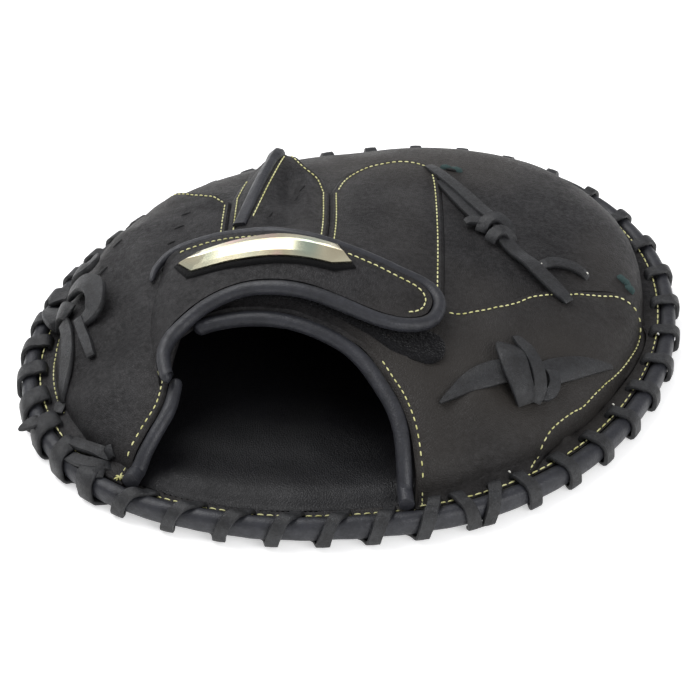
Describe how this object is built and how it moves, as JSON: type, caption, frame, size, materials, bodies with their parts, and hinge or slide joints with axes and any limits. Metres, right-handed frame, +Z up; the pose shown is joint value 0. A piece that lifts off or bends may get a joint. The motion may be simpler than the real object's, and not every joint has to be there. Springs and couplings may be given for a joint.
{
  "type": "baseball training glove",
  "caption": "Round flat leather training glove lying palm down, hollow for the hand, with a wrist opening, a padded wrist strap, a laced rim and knotted laces.",
  "frame": {"origin": "centre of the palm's flat underside, on the floor", "axes": "+Z up out of the back of the glove, -Y out of the wrist opening, +X towards the thumb"},
  "size_m": [0.2685, 0.2572, 0.0712],
  "materials": {
    "leather": "matt charcoal grain leather",
    "roll": "smooth slate leather, rolled",
    "lace": "oiled dark rawhide",
    "lining": "black lining leather",
    "pile": "black loop pile",
    "felt": "black felt",
    "badge": "pale gold metallic film on moulded plastic"
  },
  "bodies": {
    "root": {"palm_panel": "leather", "palm_lining": "lining", "pinky_panel": "leather", "finger_hood": "leather", "index_panel": "leather", "thumb_panel": "leather", "back_shell": "leather", "hood_binding": "roll", "rim_roll": "roll", "arch_binding": "roll", "mouth_binding": "roll", "strap_binding": "roll", "heel_lace": "lace", "thumb_lace": "lace", "finger_lace": "lace", "corner_lace": "lace", "cross_lace_left": "lace", "cross_lace_right": "lace", "corner_knot": "lace", "thumb_tie": "lace", "web_tie": "lace", "web_loop": "lace", "pinky_tie": "lace", "wrist_strap": "leather", "loop_patch": "pile", "badge_backing": "felt", "strap_badge": "badge"}
  },
  "joints": []
}
